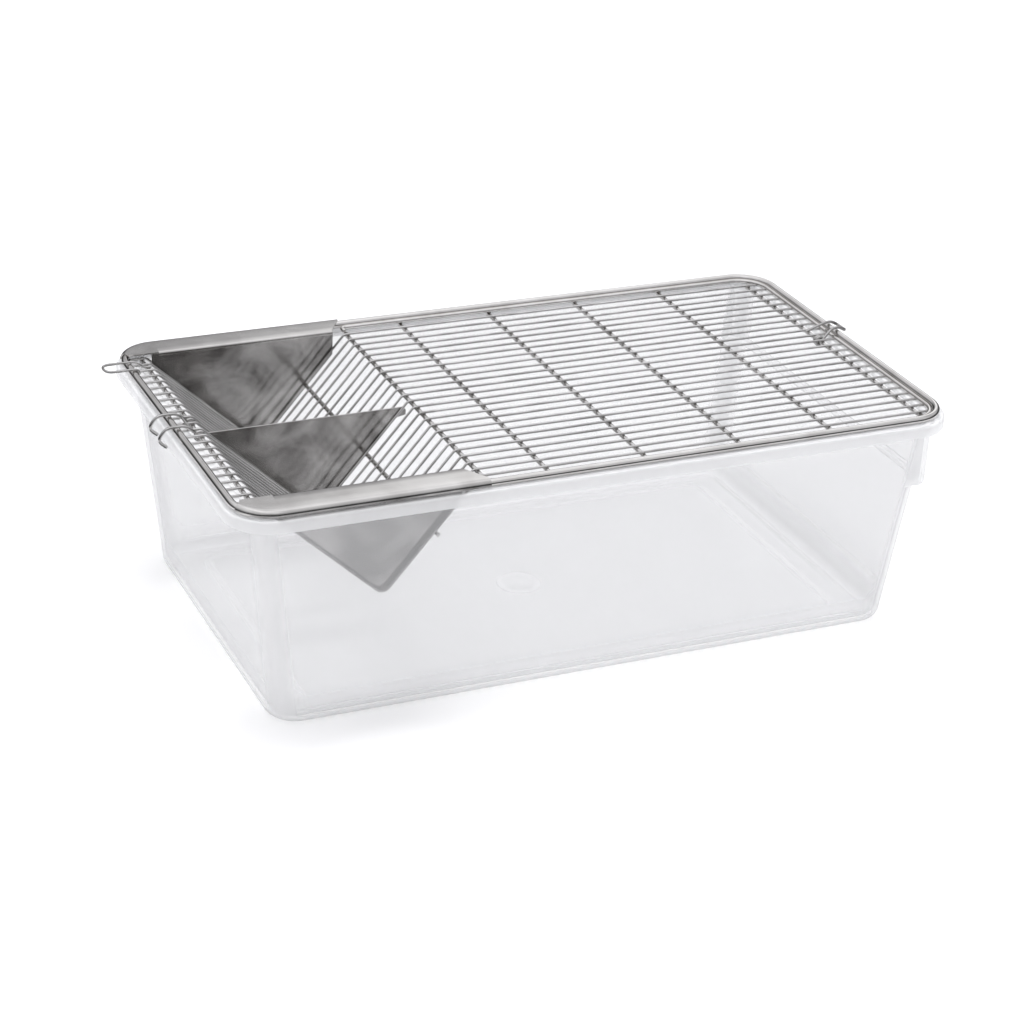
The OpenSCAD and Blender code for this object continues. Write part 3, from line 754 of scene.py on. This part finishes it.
def cap_rows(s, stations, folded):
    """Outer and inner grids of an end plate's cap: roll over the frame rod, flat top, fold."""
    outer, inner = [], []
    for (ix, iy), (ox, oy), n in stations:
        profile = []
        for deg in (-14, -2, 10, 22, 34, 46, 58, 70, 80, 90):
            a = math.radians(deg)
            normal = (n[0] * math.cos(a), n[1] * math.cos(a), math.sin(a))
            profile.append(((ox + CAP_ROLL * normal[0], oy + CAP_ROLL * normal[1],
                             FRAME_Z + CAP_ROLL * normal[2]), normal))
        flat_y = iy + (FOLD_R if folded else 0.0)
        for f in (0.66, 0.33, 0.0):
            place = (ix + f * (ox - ix), flat_y + f * (oy - flat_y), CAP_TOP)
            profile.append((place, (0, 0, 1)))
        if folded:
            for deg in (22, 45, 68, 90):
                a = math.radians(deg)
                profile.append(((ix, iy + FOLD_R - FOLD_R * math.sin(a),
                                 CAP_TOP - FOLD_R + FOLD_R * math.cos(a)),
                                (0, -math.sin(a), math.cos(a))))
            profile.append(((ix, iy, CAP_TOP - FOLD_DROP), (0, -1, 0)))
        outer.append([(p[0], s * p[1], p[2]) for p, _ in profile])
        inner.append([(p[0] - SHEET_T * q[0], s * (p[1] - SHEET_T * q[1]), p[2] - SHEET_T * q[2])
                      for p, q in profile])
    return outer, inner


def paint_lit_where(obj, test):
    """Gives the faces that pass the test the lighter copy of the sheet steel: painted light on the
    tops.
    """
    obj.data.materials.append(LIT_SHEET_STEEL)
    for polygon in obj.data.polygons:
        if test(polygon):
            polygon.material_index = 1


def make_end_plate(s, name, node):
    """Cap rolled over the frame rod, folded down into the V face with a turned edge."""
    bm = bmesh.new()
    cx, cy, r = FRAME_CX, FRAME_CY, FRAME_CORNER
    x_corner = -(cx - r)
    straight_part = []
    for k in range(25):
        t = k / 24
        straight_part.append(((PLATE_IN_X + t * (x_corner - PLATE_IN_X), PLATE_Y),
                              (PLATE_OUT_X + t * (x_corner - PLATE_OUT_X), cy), (0.0, 1.0)))
    closed_sheet(bm, *cap_rows(s, straight_part, True))
    corner_part = [((x_corner, PLATE_Y), (x_corner, cy), (0.0, 1.0))]
    for k in range(1, 15):
        a = math.radians(90 + 66 * k / 14)
        n = (math.cos(a), math.sin(a))
        out = (x_corner + r * n[0], (cy - r) + r * n[1])
        inner_x = x_corner + (out[0] + 1.5 - x_corner) * k / 14
        corner_part.append(((inner_x, min(PLATE_Y, out[1] - 0.2)), out, n))
    closed_sheet(bm, *cap_rows(s, corner_part, False))
    plate_left = LEFT_BEND_X + 2.6
    slope_z = WIRE_Z - (RIGHT_BEND_X - PLATE_IN_X) * math.tan(RIGHT_SLOPE)
    face_z = CAP_TOP - FOLD_DROP
    outline = [(plate_left, CAP_TOP - SHEET_T), (plate_left, WIRE_Z - 2.4)] + v_profile() + [
        (PLATE_IN_X, slope_z), (PLATE_IN_X, face_z), (x_corner, face_z),
        (x_corner, CAP_TOP - SHEET_T)]
    prism(bm, outline, s * PLATE_Y, s * (PLATE_Y + SHEET_T))
    edge_z = WIRE_Z - 6
    edge = [(left_at(edge_z), edge_z)] + v_profile() + [(PLATE_IN_X, slope_z)]
    back = [(left_at(edge_z) + SHEET_T, edge_z)] + v_profile(SHEET_T) + [
        (PLATE_IN_X - SHEET_T, slope_z)]
    spans = (PLATE_Y + SHEET_T, PLATE_Y + SHEET_T + TURNED_EDGE)
    closed_sheet(bm, [[(x, s * y, z) for y in spans] for x, z in edge],
                 [[(x, s * y, z) for y in spans] for x, z in back])
    obj = finish_object(name, bm, "lid", SHADED_SHEET_STEEL, [node], 35)
    # Painted light: the cap above the V face takes the lighter copy of the steel.
    paint_lit_where(obj, lambda polygon: polygon.center.z > (face_z - 0.1) * MM)
    soften(obj)
    return obj


def make_divider():
    """V-shaped sheet in the middle of the hopper, with a small lug at its upper right."""
    lo, hi = box_mm("divider_plate")
    top = hi.z
    lug = 2.2
    lug_x, lug_z = right_at(top) + lug, top - lug
    low_z = lug_z - 5.0
    outline = [(left_at(top), top)] + v_profile() + [
        (right_at(low_z), low_z), (lug_x, low_z + 1.5), (lug_x, lug_z), (right_at(top), top)]
    bm = bmesh.new()
    prism(bm, outline, lo.y, hi.y)
    obj = finish_object("divider_sheet", bm, "lid", SHADED_SHEET_STEEL, ["divider_plate"], 35)
    # Painted highlight: the divider's top edge takes the lighter copy of the steel.
    paint_lit_where(obj, lambda polygon: polygon.normal.z > 0.9)
    soften(obj, 0.25, 3)
    return obj


# ---- Wire fittings ----

# Height of the latch wires over the frame, radius of their eyes, and the angle where they leave it.
OVER_Z = FRAME_Z + FRAME_R + 0.35 + LATCH_R
EYE_R = ROD_R + 0.3 + LATCH_R
LEAVE_DEG = 40
COIL_PITCH, COIL_TURNS, LATCH_GAP, LATCH_LEAN, LATCH_TAIL = 1.9, 2.3, 10.8, 0.2, 6.5
BAR_R = 0.9


def coil(x, y, side, turns, pitch):
    """Wire wrapped round a rod along Y; it leaves at y, on the outboard side."""
    out = []
    steps = int(18 * turns)
    for k in range(steps + 1):
        left = turns * (1 - k / steps)
        a = math.radians(LEAVE_DEG) - 2 * math.pi * left
        out.append((x + side * EYE_R * math.cos(a), y + pitch * left, CROSS_Z + EYE_R * math.sin(a)))
    return out


def make_latch_left():
    """Two hooks over the frame and rim, with eyes on the hopper's left rod and a bar between."""
    rod_x = middle("hopper_left_rod")[0]
    over = -FRAME_CX
    ys = (-WIRE_PITCH / 2, 1.5 * WIRE_PITCH)
    bm = bmesh.new()
    for y in ys:
        path = [(over + 5, y, OVER_Z), (over - 8, y, OVER_Z), (over - 13, y, FRAME_Z - 4),
                (over - 7.2, y, RIM_Z - 6.5)]
        start = coil(rod_x, y, -1, 1.15, 0.0)
        tube(bm, start[:-1] + rounded_path([start[-1]] + path, 4.5, 10), LATCH_R, 14)
    leave = math.radians(LEAVE_DEG)
    eye_end = Vector((rod_x - EYE_R * math.cos(leave), 0, CROSS_Z + EYE_R * math.sin(leave)))
    mid = (eye_end + Vector((over + 5, 0, OVER_Z))) / 2
    tube(bm, [(mid.x, ys[0] + (ys[1] - ys[0]) * k / 8, mid.z) for k in range(9)], BAR_R, 14)
    for y in ys:
        bead(bm, (mid.x, y, mid.z), (1.25, 1.1, 1.2))
    return finish_object("latch_left_hooks", bm, "latch_left_body", FITTING_STEEL,
                         ["latch_left"])


def make_latch_right():
    """Loop over the frame: its coil turns on the last cross rod, its tail lies over the deck."""
    rod_x = middle("cross_rod_5")[0]
    coil_y = 1.5 * WIRE_PITCH - COIL_PITCH
    tail = (rod_x - LATCH_TAIL, WIRE_Z + WIRE_R + LATCH_R + 0.45)
    leg = [(FRAME_CX - 4.5, OVER_Z), (FRAME_CX + 2, OVER_Z), (FRAME_CX + 8.8, FRAME_Z)]

    def leg_points(places, gap):
        return [(x, coil_y + gap + LATCH_LEAN * (x - rod_x), z) for x, z in places]

    wrap = coil(rod_x, coil_y, 1, COIL_TURNS, COIL_PITCH)[::-1]
    corners = leg_points([tail] + leg, LATCH_GAP) + leg_points(leg[::-1], 0) + [wrap[0]]
    bm = bmesh.new()
    tube(bm, rounded_path(corners, 3, 10) + wrap[1:], LATCH_R, 14)
    return finish_object("latch_right_loop", bm, "latch_right_body", FITTING_STEEL,
                         ["latch_right"])


def make_card_loop():
    """Flat hairpin of wire past the frame's left end, one end curled on the frame."""
    lo, hi = box_mm("card_loop")
    rod_x = middle("hopper_left_rod")[0]
    leg_a, leg_b = hi.y - WIRE_R, lo.y + WIRE_R
    tip_x = lo.x + WIRE_R
    top = FRAME_Z + FRAME_R + WIRE_R
    curl = FRAME_R + WIRE_R
    corners = [(rod_x + 1.5, leg_a, WIRE_Z + 0.1), (rod_x - 3, leg_a, WIRE_Z + 0.1),
               (-FRAME_CX + 4, leg_a, top), (tip_x, leg_a, top), (tip_x, leg_b, top),
               (-FRAME_CX, leg_b, top)]
    curl_path = [(-FRAME_CX + curl * math.sin(math.radians(a)), leg_b,
                  FRAME_Z + curl * math.cos(math.radians(a))) for a in range(12, 100, 12)]
    path = rounded_path(corners, (leg_a - leg_b) / 2, 12) + curl_path
    bm = bmesh.new()
    tube(bm, path, WIRE_R, 14)
    bead(bm, (-FRAME_CX, leg_a, FRAME_Z + FRAME_R), (1.6, 1.3, 0.7))
    return finish_object("card_loop_wire", bm, "lid", FITTING_STEEL, ["card_loop"])


make_tub()
make_frame_ring()
make_locating_rod()
for rod in Y_RODS:
    make_y_rod(rod)
make_long_wires()
make_welds()
make_end_plate(-1, "end_plate_front_sheet", "end_plate_front")
make_end_plate(1, "end_plate_back_sheet", "end_plate_back")
make_divider()
make_card_loop()
make_latch_left()
make_latch_right()


# ---- Stage, light and camera ----

FLOOR_SIZE, FLOOR_DROP = 9.0, 0.0004
# Brightness of the studio by height (0 straight down, 0.5 level, 1 straight up), by depth (0 in
# front, 1 behind), by slow clouds, and of a bright card by nearness to its direction. The dark band
# at the horizon draws the dark lines that polished rods have in a white studio.
HEIGHT_LEVELS = [(0.0, 0.06), (0.14, 0.10), (0.20, 1.35), (0.30, 1.30), (0.40, 0.16), (0.50, 0.04),
                 (0.57, 0.10), (0.63, 0.45), (0.71, 0.68), (0.80, 0.90), (0.96, 1.30)]
DEPTH_LEVELS = [(0.0, 0.9), (0.6, 1.0), (1.0, 0.85)]
CLOUD_LEVELS = [(0.35, 0.70), (0.5, 0.95), (0.65, 1.2)]
CARD_LEVELS = [(0.935, 0.0), (0.955, 0.06), (0.972, 0.65), (1.0, 0.95)]
CARD_FROM = (0.55, 0.70, 0.46)
STUDIO_STRENGTH = 0.85
SUN_FROM, SUN_ENERGY, SUN_SPREAD = (0.03, 0.05, 1.0), 1.75, 26
CAM_AZ, CAM_EL, CAM_ROLL, CAM_LENS = -25.024, 26.128, 2.971, 92.324
CAM_PLACE = (-0.66720, -1.41301, 0.82184)

def make_floor():
    """Plain white table, left out of reflections so that the steel mirrors the studio."""
    bm = bmesh.new()
    bmesh.ops.create_grid(bm, x_segments=8, y_segments=8, size=FLOOR_SIZE)
    mesh = bpy.data.meshes.new("studio_floor")
    bm.to_mesh(mesh)
    bm.free()
    obj = bpy.data.objects.new("studio_floor", mesh)
    bpy.context.scene.collection.objects.link(obj)
    obj.location.z = -FLOOR_DROP
    m = Nodes("studio_floor")
    bsdf = m.add("ShaderNodeBsdfPrincipled")
    bsdf.inputs["Base Color"].default_value = (0.94, 0.94, 0.94, 1)
    bsdf.inputs["Roughness"].default_value = 0.6
    bsdf.inputs["Specular IOR Level"].default_value = 0.15
    m.link(bsdf.outputs["BSDF"], m.output.inputs["Surface"])
    mesh.materials.append(m.material)
    obj.visible_glossy = False


def make_world():
    """Soft studio: bright overhead, dim towards the back, with slow cloudy changes."""
    world = bpy.data.worlds.new("studio")
    bpy.context.scene.world = world
    world.use_nodes = True
    tree = world.node_tree
    tree.nodes.clear()
    out = tree.nodes.new("ShaderNodeOutputWorld")
    back = tree.nodes.new("ShaderNodeBackground")
    coords = tree.nodes.new("ShaderNodeTexCoord")
    split = tree.nodes.new("ShaderNodeSeparateXYZ")
    tree.links.new(coords.outputs["Generated"], split.inputs[0])
    cloud = tree.nodes.new("ShaderNodeTexNoise")
    cloud.inputs["Scale"].default_value = 2.2
    cloud.inputs["Detail"].default_value = 1.0
    tree.links.new(coords.outputs["Generated"], cloud.inputs["Vector"])

    def levels(source, stops):
        ramp = tree.nodes.new("ShaderNodeValToRGB")
        elements = ramp.color_ramp.elements
        while len(elements) < len(stops):
            elements.new(0.5)
        for element, (place, value) in zip(elements, stops):
            element.position = place
            element.color = (value, value, value * 1.01, 1)
        tree.links.new(source, ramp.inputs["Fac"])
        return ramp.outputs["Color"]

    def multiply(a, b):
        mix = tree.nodes.new("ShaderNodeMix")
        mix.data_type = "RGBA"
        mix.blend_type = "MULTIPLY"
        mix.inputs["Factor"].default_value = 1.0
        tree.links.new(a, mix.inputs["A"])
        tree.links.new(b, mix.inputs["B"])
        return mix.outputs["Result"]

    height = tree.nodes.new("ShaderNodeMapRange")
    height.inputs["From Min"].default_value = -1
    height.inputs["From Max"].default_value = 1
    tree.links.new(split.outputs["Z"], height.inputs["Value"])
    by_height = levels(height.outputs["Result"], HEIGHT_LEVELS)
    depth = tree.nodes.new("ShaderNodeMapRange")
    depth.inputs["From Min"].default_value = -1
    depth.inputs["From Max"].default_value = 1
    tree.links.new(split.outputs["Y"], depth.inputs["Value"])
    by_depth = levels(depth.outputs["Result"], DEPTH_LEVELS)
    by_cloud = levels(cloud.outputs["Fac"], CLOUD_LEVELS)
    base = multiply(multiply(by_height, by_depth), by_cloud)
    dot = tree.nodes.new("ShaderNodeVectorMath")
    dot.operation = "DOT_PRODUCT"
    dot.inputs[1].default_value = Vector(CARD_FROM).normalized()
    tree.links.new(coords.outputs["Generated"], dot.inputs[0])
    card = levels(dot.outputs["Value"], CARD_LEVELS)
    add = tree.nodes.new("ShaderNodeMix")
    add.data_type = "RGBA"
    add.blend_type = "ADD"
    add.inputs["Factor"].default_value = 1.0
    tree.links.new(base, add.inputs["A"])
    tree.links.new(card, add.inputs["B"])
    tree.links.new(add.outputs["Result"], back.inputs["Color"])
    back.inputs["Strength"].default_value = STUDIO_STRENGTH
    tree.links.new(back.outputs["Background"], out.inputs["Surface"])


def make_sun():
    """Wide soft light from overhead, left out of reflections."""
    data = bpy.data.lights.new("overhead", "SUN")
    data.energy = SUN_ENERGY
    data.angle = math.radians(SUN_SPREAD)
    obj = bpy.data.objects.new("overhead", data)
    bpy.context.scene.collection.objects.link(obj)
    obj.rotation_euler = Vector(SUN_FROM).to_track_quat("Z", "Y").to_euler()
    obj.visible_glossy = False


def make_camera():
    """Camera from its azimuth, elevation, roll and place."""
    azimuth, elevation, roll = (math.radians(v) for v in (CAM_AZ, CAM_EL, CAM_ROLL))
    back = Vector((math.sin(azimuth) * math.cos(elevation),
                   -math.cos(azimuth) * math.cos(elevation), math.sin(elevation)))
    right = Vector((math.cos(azimuth), math.sin(azimuth), 0))
    up = back.cross(right)
    right_r = right * math.cos(roll) + up * math.sin(roll)
    up_r = up * math.cos(roll) - right * math.sin(roll)
    data = bpy.data.cameras.new("camera")
    data.sensor_width = 36
    data.lens = CAM_LENS
    data.clip_end = 50
    obj = bpy.data.objects.new("camera", data)
    bpy.context.scene.collection.objects.link(obj)
    turn = Matrix((right_r, up_r, back)).transposed().to_4x4()
    obj.matrix_world = Matrix.Translation(Vector(CAM_PLACE)) @ turn
    bpy.context.scene.camera = obj


make_floor()
make_world()
make_sun()
make_camera()
bpy.context.scene.view_settings.view_transform = "Standard"
